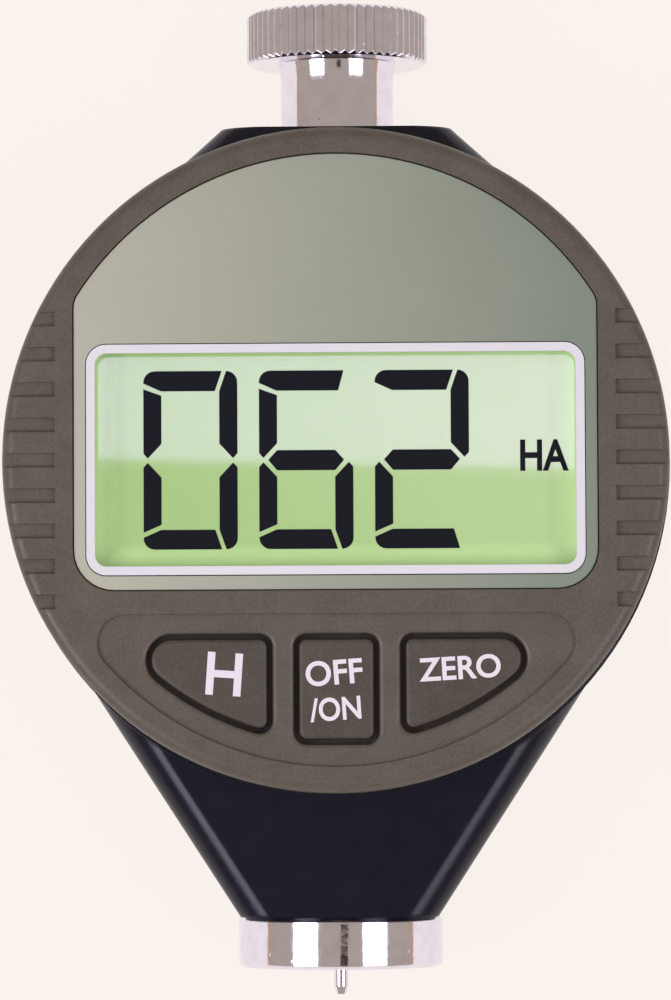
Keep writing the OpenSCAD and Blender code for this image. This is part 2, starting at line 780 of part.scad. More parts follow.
module controller_chip() {
    y = (lcd_h / 2 + module_in_r) / 2;
    color([0.05, 0.05, 0.05]) translate([0, y, board_z1]) rotate_extrude() polygon([
        [0, 0], [chip_r, 0], [chip_r * 0.91, chip_h * 0.43], [chip_r * 0.68, chip_h * 0.78],
        [chip_r * 0.36, chip_h * 0.96], [0, chip_h]]);
}

module lcd_connectors() {
    color([0.75, 0.5, 0.55]) for (s = [-1, 1])
        block([-lcd_w / 2 + 1.5, lcd_w / 2 - 1.5],
              [s * (lcd_h / 2 - 1.2) - 0.9, s * (lcd_h / 2 - 1.2) + 0.9],
              [board_z1, lcd_z0]);
}

module lcd_panel() {
    color([0.72, 0.8, 0.6]) block([-lcd_w / 2, lcd_w / 2], [-lcd_h / 2, lcd_h / 2], [lcd_z0, lcd_z1]);
}

module window_frame() {
    ledge = frame_border / 2;
    color([0.9, 0.88, 0.93]) difference() {
        slab(rect_outline(window_w, window_h, window_corner), frame_z0, frame_z1);
        slab(rect_outline(window_w - 2 * frame_border, window_h - 2 * frame_border,
                          window_corner - frame_border + 0.05), frame_z0 - 1, frame_z1 + 1);
        slab(rect_outline(window_w - 2 * ledge, window_h - 2 * ledge, window_corner - ledge),
             frame_z0 - 1, frame_z1 - lip_t);
    }
}

module display_window() {
    edge = frame_border / 2 + fix_fit;
    color([0.9, 0.95, 0.92, 0.3])
        slab(rect_outline(window_w - 2 * edge, window_h - 2 * edge, window_corner - edge),
             lens_z0, lens_z1);
}

module face_panel() {
    color([0.68, 0.68, 0.63]) difference() {
        panel_form(0.1, panel_z0, panel_z1);
        slab(rect_outline(window_w + 0.16, window_h + 0.16, window_corner + 0.08),
             panel_z0 - 1, face_z + 1);
    }
}

module keypad_mat() {
    color([0.3, 0.3, 0.32]) union() {
        slab(field_outline(module_in_r - 1.4, key_drop + 0.6, 2), board_z1, board_z1 + mat_t);
        for (c = key_centres) translate([c[0], c[1], board_z1])
            cylinder(r1 = 2.6, r2 = 1.8, h = dome_z1 - board_z1, $fn = 48);
    }
}

module key_cap(k) {
    flange = key_outline(k, -key_lip);
    cap = key_outline(k, key_gap);
    color([0.35, 0.32, 0.3]) union() {
        loft(
            [cap, cap, key_outline(k, key_gap + 0.08), key_outline(k, key_gap + key_soft)],
            [flange_z1 - flange_t / 2, key_top_z - key_soft, key_top_z - 0.09, key_top_z]);
        slab(flange, flange_z1 - flange_t, flange_z1);
        translate([key_centres[k][0], key_centres[k][1], stem_z0])
            cylinder(r = stem_r, h = flange_z1 - stem_z0, $fn = 48);
    }
}

module hold_key() {
    key_cap(0);
}

module power_key() {
    key_cap(1);
}

module zero_key() {
    key_cap(2);
}

frame_casting();
back_cover();
cover_screws();
battery_cap();
battery();
battery_holder();
battery_contact();
handle();
upper_bush();
spring_adjuster();
calibrated_spring();
spring_seat();
spindle();
scale_carrier();
carrier_screw();
scale_plate();
stop_collar();
collar_screw();
indenter();
lower_bush();
presser_foot();
front_housing();
housing_screws();
main_board();
board_screws();
controller_chip();
lcd_connectors();
lcd_panel();
window_frame();
display_window();
face_panel();
keypad_mat();
hold_key();
power_key();
zero_key();
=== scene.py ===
"""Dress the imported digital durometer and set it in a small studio.

The tool lies on its back: +Z points out of the display, +Y towards the knob. Every size
below is in millimetres unless its name says otherwise, and meshes are written in metres.
"""

import logging
import math
from abc import ABC, abstractmethod
from dataclasses import dataclass
from enum import Enum
from functools import cache
from typing import ClassVar, Iterator

import bmesh
import bpy
from bmesh.types import BMesh, BMVert
from bpy.types import Material, Node, NodeSocket, NodeTree, Object
from mathutils import Matrix, Vector

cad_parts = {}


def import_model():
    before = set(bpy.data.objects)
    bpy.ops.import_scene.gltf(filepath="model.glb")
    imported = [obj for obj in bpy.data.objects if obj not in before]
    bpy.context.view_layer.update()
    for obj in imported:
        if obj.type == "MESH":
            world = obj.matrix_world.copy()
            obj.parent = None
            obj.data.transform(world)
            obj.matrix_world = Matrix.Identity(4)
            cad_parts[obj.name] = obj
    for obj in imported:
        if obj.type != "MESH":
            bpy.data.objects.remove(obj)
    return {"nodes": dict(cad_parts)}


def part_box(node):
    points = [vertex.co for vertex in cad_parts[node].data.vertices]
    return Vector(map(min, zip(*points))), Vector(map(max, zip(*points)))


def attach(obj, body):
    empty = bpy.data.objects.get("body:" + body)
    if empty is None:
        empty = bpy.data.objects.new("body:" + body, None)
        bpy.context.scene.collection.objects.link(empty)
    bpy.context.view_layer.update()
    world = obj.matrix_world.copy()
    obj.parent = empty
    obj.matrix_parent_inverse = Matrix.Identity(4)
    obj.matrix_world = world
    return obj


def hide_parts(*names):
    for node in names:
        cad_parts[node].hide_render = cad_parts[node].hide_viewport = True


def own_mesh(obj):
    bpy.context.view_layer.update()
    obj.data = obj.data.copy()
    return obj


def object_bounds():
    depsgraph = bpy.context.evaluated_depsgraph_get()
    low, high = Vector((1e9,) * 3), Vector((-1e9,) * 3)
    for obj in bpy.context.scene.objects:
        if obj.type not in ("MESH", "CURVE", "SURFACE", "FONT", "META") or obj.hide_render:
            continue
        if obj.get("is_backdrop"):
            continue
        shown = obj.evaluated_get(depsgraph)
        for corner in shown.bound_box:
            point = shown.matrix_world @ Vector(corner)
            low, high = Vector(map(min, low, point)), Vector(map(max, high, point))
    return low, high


LOG = logging.getLogger("durometer")
MM = 0.001

Colour = tuple[float, float, float]
Point = tuple[float, float]
Point3 = tuple[float, float, float]
CadNodes = dict[str, Object]


def tone(red: int, green: int, blue: int) -> Colour:
    """Turn a colour of 0 to 255 as seen on a screen into linear light.

    Args:
        red: Red share.
        green: Green share.
        blue: Blue share.

    Returns:
        The three linear shares, from 0 to 1.
    """
    def linear(share: int) -> float:
        """Undo the screen's curve for one share."""
        value = share / 255.0
        return value / 12.92 if value <= 0.04045 else ((value + 0.055) / 1.055) ** 2.4

    return linear(red), linear(green), linear(blue)


def dimmed(colour: Colour, factor: float, lift: float = 0.0) -> Colour:
    """Multiply a colour by a factor and lift it a little."""
    return tuple(share * factor + lift for share in colour)


def aimed(place: Point3, aim: Point3) -> Matrix:
    """Turn something that looks along its own -Z towards a point, its own Y kept near +Y.

    Args:
        place: Where it is.
        aim: What it looks at.

    Returns:
        The turn, three by three.
    """
    back = (Vector(place) - Vector(aim)).normalized()
    right = Vector((0.0, 1.0, 0.0)).cross(back).normalized()
    return Matrix((right, back.cross(right), back)).transposed()


def turned(degrees: float) -> Matrix:
    """Give a turn about Z, counter-clockwise."""
    return Matrix.Rotation(math.radians(degrees), 3, "Z")


def put(name: str, shape: BMesh, material: Material) -> Object:
    """Make an object at the origin, with its place in its mesh.

    Args:
        name: The object's name.
        shape: Its shape in metres; freed here.
        material: Its material.

    Returns:
        The object, linked to the scene.
    """
    mesh = bpy.data.meshes.new(name)
    shape.to_mesh(mesh)
    shape.free()
    mesh.materials.append(material)
    made = bpy.data.objects.new(name, mesh)
    bpy.context.scene.collection.objects.link(made)
    return made


class Body(Enum):
    """The bodies that new pieces ride on."""

    CASE = "case"
    HOLD = "hold_button"
    POWER = "power_button"
    ZERO = "zero_button"


class Slot(Enum):
    """Material slots named with the new pieces."""

    DISPLAY = "display"
    STEEL = "steel"
    WHITE = "white_plastic"


@dataclass(frozen=True)
class Speckle:
    """Soft noise on a piece.

    Attributes:
        scale: Blotches per millimetre.
        detail: Octaves of finer noise.
        low: Noise that counts as none.
        high: Noise that counts as full.
        stretch: Factor on each axis.
    """

    scale: float
    detail: float = 3.0
    low: float = 0.3
    high: float = 0.7
    stretch: Point3 = (1.0, 1.0, 1.0)


class Nodes:
    """A tree of shader nodes while it is being put together."""

    def __init__(self, tree: NodeTree) -> None:
        """Take a tree and empty it."""
        self.tree = tree
        self.tree.nodes.clear()

    def add(self, kind: str, **inputs: object) -> Node:
        """Add a node and set or link its inputs.

        Args:
            kind: Node type without the ShaderNode prefix.
            inputs: Input names with _ for a space, each a value or a socket.

        Returns:
            The new node.
        """
        node = self.tree.nodes.new("ShaderNode" + kind)
        for key, value in inputs.items():
            self.feed(node.inputs[key.replace("_", " ")], value)
        return node

    def feed(self, socket: NodeSocket, value: object) -> None:
        """Link a socket to an input, or set the input's own value.

        Args:
            socket: The input.
            value: A socket, a number or a colour.
        """
        if isinstance(value, NodeSocket):
            self.tree.links.new(value, socket)
        elif socket.type == "RGBA":
            socket.default_value = (*value, 1.0)
        else:
            socket.default_value = value

    def span(self, value: NodeSocket, low: float, high: float,
             start: float = 0.0, end: float = 1.0) -> NodeSocket:
        """Map a value from one range to another, held at both ends.

        Args:
            value: The value.
            low: Value that gives start.
            high: Value that gives end.
            start: Result at low.
            end: Result at high.

        Returns:
            The mapped value.
        """
        node = self.add("MapRange")
        for socket, item in zip(node.inputs, (value, low, high, start, end)):
            self.feed(socket, item)
        return node.outputs["Result"]

    def blend(self, share: NodeSocket, first: object, second: object) -> NodeSocket:
        """Mix two colours by a share.

        Args:
            share: 0 gives the first colour, 1 the second.
            first: A colour or a socket.
            second: A colour or a socket.

        Returns:
            The mixed colour.
        """
        node = self.add("Mix")
        node.data_type = "RGBA"
        for index, value in ((0, share), (6, first), (7, second)):
            self.feed(node.inputs[index], value)
        return node.outputs[2]

    def mix(self, share: NodeSocket, first: NodeSocket, second: NodeSocket) -> NodeSocket:
        """Mix two surfaces by a share.

        Args:
            share: 0 gives the first surface, 1 the second.
            first: A surface.
            second: A surface.

        Returns:
            The mixed surface.
        """
        node = self.add("MixShader")
        for socket, value in zip(node.inputs, (share, first, second)):
            self.feed(socket, value)
        return node.outputs[0]

    def math(self, operation: str, first: object, second: object = 0.0) -> NodeSocket:
        """Work out a value from one or two others.

        Args:
            operation: What is done, as the node names it.
            first: A value or a socket.
            second: A value or a socket.

        Returns:
            The result.
        """
        node = self.add("Math")
        node.operation = operation
        self.feed(node.inputs[0], first)
        self.feed(node.inputs[1], second)
        return node.outputs[0]

    def axis(self, vector: NodeSocket, name: str) -> NodeSocket:
        """Take one axis of a vector."""
        return self.add("SeparateXYZ", Vector=vector).outputs[name]


class Shader(Nodes):
    """A node material while it is being put together."""

    EDGE_SAMPLES: ClassVar[int] = 6

    def __init__(self, name: str) -> None:
        """Start an empty material.

        Args:
            name: The material's name.
        """
        self.material = bpy.data.materials.new(name)
        self.material.use_nodes = True
        super().__init__(self.material.node_tree)

    def place(self, stretch: Point3 = (1.0, 1.0, 1.0)) -> NodeSocket:
        """Object coordinates in millimetres, stretched.

        Args:
            stretch: Factor on each axis.

        Returns:
            The vector socket.
        """
        mapping = self.add("Mapping", Vector=self.add("TexCoord").outputs["Object"])
        mapping.inputs["Scale"].default_value = [factor / MM for factor in stretch]
        return mapping.outputs[0]

    def noise(self, speckle: Speckle) -> NodeSocket:
        """Give a speckle's plain noise."""
        where = self.place(speckle.stretch)
        return self.add("TexNoise", Vector=where, Scale=speckle.scale,
                        Detail=speckle.detail).outputs["Fac"]

    def cover(self, speckle: Speckle, start: float = 0.0, end: float = 1.0) -> NodeSocket:
        """Give a speckle's noise between its limits, as a value from start to end."""
        return self.span(self.noise(speckle), speckle.low, speckle.high, start, end)

    def cells(self, scale: float) -> NodeSocket:
        """Give the distance to scattered points, so many cells to a millimetre."""
        return self.add("TexVoronoi", Vector=self.place(), Scale=scale).outputs["Distance"]

    def rounded_edges(self, radius: float) -> NodeSocket:
        """Give a normal that rounds sharp edges a little.

        Args:
            radius: Rounding in millimetres.

        Returns:
            The normal socket.
        """
        node = self.add("Bevel", Radius=radius * MM)
        node.samples = self.EDGE_SAMPLES
        return node.outputs[0]

    def relief(self, height: NodeSocket, depth: float,
               normal: NodeSocket | None = None) -> NodeSocket:
        """Raise or lower the surface by a height from 0 to 1.

        Args:
            height: The height.
            depth: Height of 1 in millimetres.
            normal: Normal that the relief is laid on.

        Returns:
            The normal socket.
        """
        node = self.add("Bump", Height=height, Distance=depth * MM, Strength=1.0)
        if normal is not None:
            self.feed(node.inputs["Normal"], normal)
        return node.outputs[0]

    def surface(self, **inputs: object) -> NodeSocket:
        """Give one principled surface, its inputs named as in add."""
        return self.add("BsdfPrincipled", **inputs).outputs[0]


@dataclass(frozen=True)
class Coat(ABC):
    """A finish; each kind says how it is laid on.

    Attributes:
        name: The material's name.
    """

    name: str

    @abstractmethod
    def lay(self, shader: Shader) -> NodeSocket:
        """Put the finish's nodes together and give the surface."""

    def material(self) -> Material:
        """Make the material.

        Returns:
            The material, with its surface in place.
        """
        shader = Shader(self.name)
        shader.add("OutputMaterial", Surface=self.lay(shader))
        return shader.material


@dataclass(frozen=True)
class MouldedPlastic(Coat):
    """Fine-grained moulding with slightly rounded edges."""

    colour: Colour
    shade: Colour
    roughness: float = 0.5
    grain_height: float = 0.006
    edge: float = 0.16
    uneven: float = 0.06
    specular: float = 0.4
    grain_share: float = 0.65
    grain: Speckle = Speckle(4.5, 3.0, 0.32, 0.68)
    blotch: Speckle = Speckle(0.35, 5.0, 0.35, 0.65)
    touch: Speckle = Speckle(1.4, 4.0)

    def lay(self, shader: Shader) -> NodeSocket:
        """Lay the fleck, the grain and the uneven gloss.

        Args:
            shader: The empty material.

        Returns:
            The surface.
        """
        fine = shader.noise(self.grain)
        fleck = shader.span(fine, self.grain.low, self.grain.high, 0.0, self.grain_share)
        cloud = shader.cover(self.blotch, 0.0, 1.0 - self.grain_share)
        return shader.surface(
            Base_Color=shader.blend(shader.math("ADD", cloud, fleck), self.colour, self.shade),
            Roughness=shader.cover(self.touch, self.roughness - self.uneven,
                                   self.roughness + self.uneven),
            Normal=shader.relief(fine, self.grain_height, shader.rounded_edges(self.edge)),
            Specular_IOR_Level=self.specular)


@dataclass(frozen=True)
class SatinPaint(Coat):
    """Dark paint on a casting, satin with a faint orange peel and a little dust."""

    colour: Colour
    roughness: float = 0.21
    dust_roughness: float = 0.26
    dust_factor: float = 1.15
    dust_lift: float = 0.0005
    peel_height: float = 0.006
    edge: float = 0.5
    specular: float = 0.3
    peel: Speckle = Speckle(2.2, 2.0)
    dust: Speckle = Speckle(0.5, 6.0, 0.45, 0.75)

    def lay(self, shader: Shader) -> NodeSocket:
        """Lay the paint, its peel and the dust.

        Args:
            shader: The empty material.

        Returns:
            The surface.
        """
        dust = shader.cover(self.dust)
        dusty = dimmed(self.colour, self.dust_factor, self.dust_lift)
        edges = shader.rounded_edges(self.edge)
        return shader.surface(
            Base_Color=shader.blend(dust, self.colour, dusty),
            Roughness=shader.span(dust, 0.0, 1.0, self.roughness, self.dust_roughness),
            Normal=shader.relief(shader.noise(self.peel), self.peel_height, edges),
            Specular_IOR_Level=self.specular)


@dataclass(frozen=True)
class ChromePlate(Coat):
    """Bright plating, a little wavy, smeared and pitted."""

    colour: Colour
    roughness: float = 0.05
    smear_roughness: float = 0.11
    smear_factor: float = 0.9
    wave_height: float = 0.012
    ripple_height: float = 0.004
    pit_depth: float = 0.03
    pit_scale: float = 0.55
    pit_inner: float = 0.03
    pit_outer: float = 0.09
    edge: float = 0.18
    wave: Speckle = Speckle(0.45, 2.0)
    ripple: Speckle = Speckle(1.5, 3.0)
    smear: Speckle = Speckle(0.8, 6.0, 0.4, 0.75)

    def lay(self, shader: Shader) -> NodeSocket:
        """Lay the plating, its waves, pits and smears.

        Args:
            shader: The empty material.

        Returns:
            The surface.
        """
        smear = shader.cover(self.smear)
        pits = shader.span(shader.cells(self.pit_scale), self.pit_inner, self.pit_outer, 1.0, 0.0)
        normal = shader.rounded_edges(self.edge)
        normal = shader.relief(shader.noise(self.wave), self.wave_height, normal)
        normal = shader.relief(shader.noise(self.ripple), self.ripple_height, normal)
        normal = shader.relief(pits, self.pit_depth, normal)
        return shader.surface(
            Base_Color=shader.blend(smear, self.colour, dimmed(self.colour, self.smear_factor)),
            Metallic=1.0,
            Roughness=shader.span(smear, 0.0, 1.0, self.roughness, self.smear_roughness),
            Normal=normal)


@dataclass(frozen=True)
class TurnedMetal(Coat):
    """Metal with fine turning marks along the spindle."""

    colour: Colour
    shade: Colour
    smooth: float = 0.24
    rough: float = 0.38
    mark_height: float = 0.004
    edge: float = 0.08
    marks: Speckle = Speckle(3.0, 4.0, stretch=(0.15, 6.0, 0.15))
    tarnish: Speckle = Speckle(0.6, 5.0, 0.4, 0.7)

    def lay(self, shader: Shader) -> NodeSocket:
        """Lay the metal, its turning marks and its tarnish.

        Args:
            shader: The empty material.

        Returns:
            The surface.
        """
        marks = shader.noise(self.marks)
        return shader.surface(
            Base_Color=shader.blend(shader.cover(self.tarnish), self.colour, self.shade),
            Metallic=1.0,
            Roughness=shader.span(marks, self.marks.low, self.marks.high, self.smooth, self.rough),
            Normal=shader.relief(marks, self.mark_height, shader.rounded_edges(self.edge)))


@dataclass(frozen=True)
class PanelFoil(Coat):
    """Silver panel, satin with a fine metal fleck, with a painted sheen that is brighter at the
    left and darker at the right.
    """

    colour: Colour
    shade: Colour
    half_width: float = 21.0
    metallic: float = 0.75
    smooth: float = 0.38
    rough: float = 0.52
    fleck_height: float = 0.002
    edge: float = 0.06
    cloud_share: float = 0.04
    fleck: Speckle = Speckle(14.0, 2.0)
    cloud: Speckle = Speckle(0.12, 3.0)

    def lay(self, shader: Shader) -> NodeSocket:
        """Lay the foil's painted sheen and its fleck.

        Args:
            shader: The empty material.

        Returns:
            The surface.
        """
        fleck = shader.noise(self.fleck)
        cloud = shader.cover(self.cloud, -self.cloud_share, self.cloud_share)
        # painted sheen: the colour runs from the brighter left colour to the darker right shade
        # across the panel
        across = shader.axis(shader.place(), "X")
        tint = shader.math("ADD", shader.span(across, -self.half_width, self.half_width), cloud)
        return shader.surface(
            Base_Color=shader.blend(tint, self.colour, self.shade),
            Metallic=self.metallic,
            Roughness=shader.span(fleck, self.fleck.low, self.fleck.high, self.smooth, self.rough),
            Normal=shader.relief(fleck, self.fleck_height, shader.rounded_edges(self.edge)))


@dataclass(frozen=True)
class ClearSheet(Coat):
    """Clear window that reflects more at a slant."""

    tint: Colour
    smooth: float = 0.04
    smeared: float = 0.09
    shine: float = 0.0015
    even: float = 0.5
    steepness: float = 5.0
    smear: Speckle = Speckle(0.3, 5.0, 0.4, 0.8)

    def lay(self, shader: Shader) -> NodeSocket:
        """Lay the clear sheet and its shine.

        Args:
            shader: The empty material.

        Returns:
            The surface.
        """
        clear = shader.add("BsdfTransparent", Color=self.tint)
        gloss = shader.add("BsdfAnisotropic", Color=(1.0, 1.0, 1.0),
                           Roughness=shader.cover(self.smear, self.smooth, self.smeared))
        slant = shader.add("LayerWeight", Blend=self.even).outputs["Facing"]
        steep = shader.math("POWER", slant, self.steepness)
        share = shader.span(steep, 0.0, 1.0, self.shine, 1.0)
        return shader.mix(share, clear.outputs[0], gloss.outputs[0])


@dataclass(frozen=True)
class DisplayGlass(Coat):
    """Reflective display with a faint shimmer, paler to the right, with painted light along its
    left, right and lower rim that lifts the frame's shade there, not along its top.
    """

    colour: Colour
    shade: Colour
    painted_light_rim: Colour
    half_width: float = 20.7
    half_height: float = 9.2
    painted_light_rim_width: float = 2.2
    smooth: float = 0.022
    rough: float = 0.04
    specular: float = 0.85
    cloud_share: float = 0.1
    cloud: Speckle = Speckle(0.09, 2.0)
    shimmer: Speckle = Speckle(11.0, 2.0)

    def lay(self, shader: Shader) -> NodeSocket:
        """Lay the display's tint, the painted light along its rim and its shimmer.

        Args:
            shader: The empty material.

        Returns:
            The surface.
        """
        across = shader.axis(shader.place(), "X")
        along = shader.axis(shader.place(), "Y")
        cloud = shader.cover(self.cloud, -self.cloud_share, self.cloud_share)
        tint = shader.math("ADD", shader.span(across, -self.half_width, self.half_width), cloud)
        # painted light: the rim colour is laid over the left, right and lower edges, where the
        # frame's shade falls
        side = shader.span(shader.math("ABSOLUTE", across),
                           self.half_width - self.painted_light_rim_width, self.half_width)
        foot = shader.span(along, self.painted_light_rim_width - self.half_height, -self.half_height)
        field = shader.blend(tint, self.colour, self.shade)
        return shader.surface(
            Base_Color=shader.blend(shader.math("MAXIMUM", side, foot), field, self.painted_light_rim),
            Roughness=shader.cover(self.shimmer, self.smooth, self.rough),
            Specular_IOR_Level=self.specular)


@dataclass(frozen=True)
class PrintedInk(Coat):
    """Thin print that covers a little unevenly."""

    colour: Colour
    shade: Colour
    roughness: float = 0.5
    specular: float = 0.3
    uneven: float = 0.1
    thin: Speckle = Speckle(5.0, 4.0, 0.35, 0.75)

    def lay(self, shader: Shader) -> NodeSocket:
        """Lay the ink.

        Args:
            shader: The empty material.

        Returns:
            The surface.
        """
        thin = shader.cover(self.thin)
        return shader.surface(
            Base_Color=shader.blend(thin, self.colour, self.shade),
            Roughness=shader.span(thin, 0.0, 1.0, self.roughness, self.roughness + self.uneven),
            Specular_IOR_Level=self.specular)


@dataclass(frozen=True)
class BoardLaminate(Coat):
    """Green lacquered circuit board with a faint glass weave."""

    colour: Colour
    shade: Colour
    roughness: float = 0.35
    weave_scale: float = 1.6
    weave_height: float = 0.004

    def lay(self, shader: Shader) -> NodeSocket:
        """Lay the lacquer over the weave.

        Args:
            shader: The empty material.

        Returns:
            The surface.
        """
        threads = []
        for direction in "XY":
            wave = shader.add("TexWave", Vector=shader.place(), Scale=self.weave_scale)
            wave.bands_direction = direction
            threads.append(wave.outputs["Fac"])
        weave = shader.math("MULTIPLY", *threads)
        return shader.surface(
            Base_Color=shader.blend(weave, self.colour, self.shade),
            Roughness=self.roughness,
            Normal=shader.relief(weave, self.weave_height))


@dataclass(frozen=True)
class CardFelt(Coat):
    """Dark felt on a card of the studio."""

    colour: Colour
    shade: Colour
    roughness: float = 0.9
    nap: Speckle = Speckle(0.1, 3.0)

    def lay(self, shader: Shader) -> NodeSocket:
        """Lay the felt."""
        felt = shader.blend(shader.noise(self.nap), self.colour, self.shade)
        return shader.surface(Base_Color=felt, Roughness=self.roughness)


@dataclass(frozen=True)
class FloorPaper(Coat):
    """Pale paper that the camera and bright surfaces see as bright, and nothing from below."""

    colour: Colour
    glow: float = 0.95
    fleck_factor: float = 0.995
    fleck: Speckle = Speckle(0.02, 3.0)
    bright_rays: tuple[str, ...] = ("Is Glossy Ray", "Is Transmission Ray")

    def lay(self, shader: Shader) -> NodeSocket:
        """Lay the paper, its glow and its clear back.

        Args:
            shader: The empty material.

        Returns:
            The surface.
        """
        paper = shader.blend(shader.cover(self.fleck), self.colour,
                             dimmed(self.colour, self.fleck_factor))
        rays = shader.add("LightPath").outputs
        seen = rays["Is Camera Ray"]
        for name in self.bright_rays:
            seen = shader.math("MAXIMUM", seen, rays[name])
        front = shader.mix(shader.span(seen, 0.0, 1.0, 0.0, self.glow),
                           shader.add("BsdfDiffuse", Color=paper).outputs[0],
                           shader.add("Emission", Color=self.colour, Strength=1.0).outputs[0])
        return shader.mix(shader.add("NewGeometry").outputs["Backfacing"], front,
                          shader.add("BsdfTransparent").outputs[0])


class Finish(Enum):
    """Every finish on the tool."""

    HOUSING = MouldedPlastic("grey_moulding", tone(75, 70, 61), tone(92, 87, 78), 0.4, 0.01)
    KEY = MouldedPlastic("key_moulding", tone(60, 56, 48), tone(77, 73, 65), 0.5, 0.008, 0.1)
    WINDOW_FRAME = MouldedPlastic("white_moulding", tone(208, 211, 216), tone(213, 216, 221),
                                  0.45, 0.002, 0.08)
    DARK_PLASTIC = MouldedPlastic("black_moulding", tone(30, 30, 32), tone(36, 36, 38), 0.45)
    RUBBER = MouldedPlastic("mat_rubber", tone(44, 42, 43), tone(54, 51, 52), 0.8, 0.012)
    BODY = SatinPaint("satin_black", tone(9, 11, 29))
    CHROME = ChromePlate("bright_chrome", (0.845, 0.81, 0.93))
    STEEL = TurnedMetal("turned_steel", tone(190, 190, 194), tone(168, 168, 172))
    BRASS = TurnedMetal("turned_brass", tone(214, 178, 104), tone(190, 150, 84))
    # the panel's two colours are the bright left end and the dark right end of its painted sheen
    PANEL = PanelFoil("panel_foil", tone(192, 197, 182), tone(142, 158, 143))
    WINDOW = ClearSheet("window_sheet", (0.98, 1.0, 0.985))
    # the display's third colour is the painted light along its rim
    DISPLAY = DisplayGlass("display_glass", tone(163, 197, 127), tone(181, 208, 150),
                           tone(214, 250, 175))
    DIGIT = PrintedInk("display_digit", tone(22, 22, 31), tone(28, 28, 37), 0.6, 0.05)
    LEGEND = PrintedInk("key_legend", tone(214, 214, 221), tone(222, 222, 230))
    BOARD = BoardLaminate("board_laminate", tone(28, 92, 52), tone(44, 112, 66))

    @cache
    def material(self) -> Material:
        """Give the finish's material, made once."""
        return self.value.material()


class Piece:
    """A new piece of the tool that rides on one of its bodies."""

    MERGE_M: ClassVar[float] = 1e-7

    def __init__(self, name: str, shape: BMesh, finish: Finish, body: Body, slot: Slot) -> None:
        """Make the object, dress it and let it ride.

        Args:
            name: The piece's name.
            shape: Its shape in metres; freed here.
            finish: Its finish.
            body: The body it moves with.
            slot: A material slot named with the piece; not used.
        """
        bmesh.ops.remove_doubles(shape, verts=shape.verts, dist=self.MERGE_M)
        bmesh.ops.recalc_face_normals(shape, faces=shape.faces)
        self.body = body
        self.object = put(name, shape, finish.material())
        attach(self.object, body.value)


@dataclass
class Assembly:
    """A sub-assembly of the tool, with new pieces to build and CAD nodes to dress."""

    COATS: ClassVar[dict[Finish, tuple[str, ...]]] = {}

    def build(self, nodes: CadNodes) -> list[Piece]:
        """Make the new pieces, of which a sub-assembly that is only dressed has none."""
        return []

    def dress(self, nodes: CadNodes) -> Iterator[tuple[str, Finish]]:
        """Give each CAD node its finish.

        Args:
            nodes: The CAD nodes.

        Yields:
            Each node's name with its finish.
        """
        for finish, names in self.COATS.items():
            for name in names:
                materials = nodes[name].data.materials
                materials.clear()
                materials.append(finish.material())
                yield name, finish


@dataclass(frozen=True)
class Lettering:
    """A word printed flat on a face.

    Attributes:
        name: The piece's name.
        words: What it says.
        middle: Centre of the print.
        height: Height of its letters.
        width: Width of the whole print.
        turn: Turn in degrees, counter-clockwise.
        weight: How much the strokes are thickened, as a share of the height.
    """

    name: str
    words: str
    middle: Point
    height: float
    width: float
    turn: float = 0.0
    weight: float = 0.02

    FILM: ClassVar[float] = 0.015
    CURVE_STEPS: ClassVar[int] = 6

    def letters(self) -> BMesh:
        """Set the words in type.

        Returns:
            The letters as solids one unit thick, as large as the type gives them.
        """
        curve = bpy.data.curves.new(self.name + "_type", "FONT")
        curve.body = self.words
        curve.offset = self.weight
        curve.extrude = 0.5
        curve.resolution_u = self.CURVE_STEPS
        text = bpy.data.objects.new(curve.name, curve)
        bpy.context.scene.collection.objects.link(text)
        bpy.context.view_layer.update()
        depsgraph = bpy.context.evaluated_depsgraph_get()
        mesh = bpy.data.meshes.new_from_object(text.evaluated_get(depsgraph))
        bpy.data.objects.remove(text)
        bpy.data.curves.remove(curve)
        letters = bmesh.new()
        letters.from_mesh(mesh)
        bpy.data.meshes.remove(mesh)
        return letters

    def shape(self, level: float) -> BMesh:
        """Print the letters on a level face.

        Args:
            level: Height of the face.

        Returns:
            The letters as thin solids, in metres.
        """
        letters = self.letters()
        xs = [v.co.x for v in letters.verts]
        ys = [v.co.y for v in letters.verts]
        centre = Vector(((min(xs) + max(xs)) / 2, (min(ys) + max(ys)) / 2, 0.0))
        size = (self.width / (max(xs) - min(xs)), self.height / (max(ys) - min(ys)), self.FILM)
        place = Vector((*self.middle, level + self.FILM / 2)) * MM
        bmesh.ops.translate(letters, verts=letters.verts, vec=-centre)
        bmesh.ops.scale(letters, verts=letters.verts, vec=[side * MM for side in size])
        bmesh.ops.rotate(letters, verts=letters.verts, cent=(0, 0, 0), matrix=turned(self.turn))
        bmesh.ops.translate(letters, verts=letters.verts, vec=place)
        return letters


@dataclass(frozen=True)
class Bar:
    """A bar of a digit.

    Attributes:
        outline: Its corners in steps of the digit's grid, y down.
        soft: The numbers of the corners that are rounded.
    """

    outline: tuple[tuple[int, int], ...]
    soft: tuple[int, ...] = ()


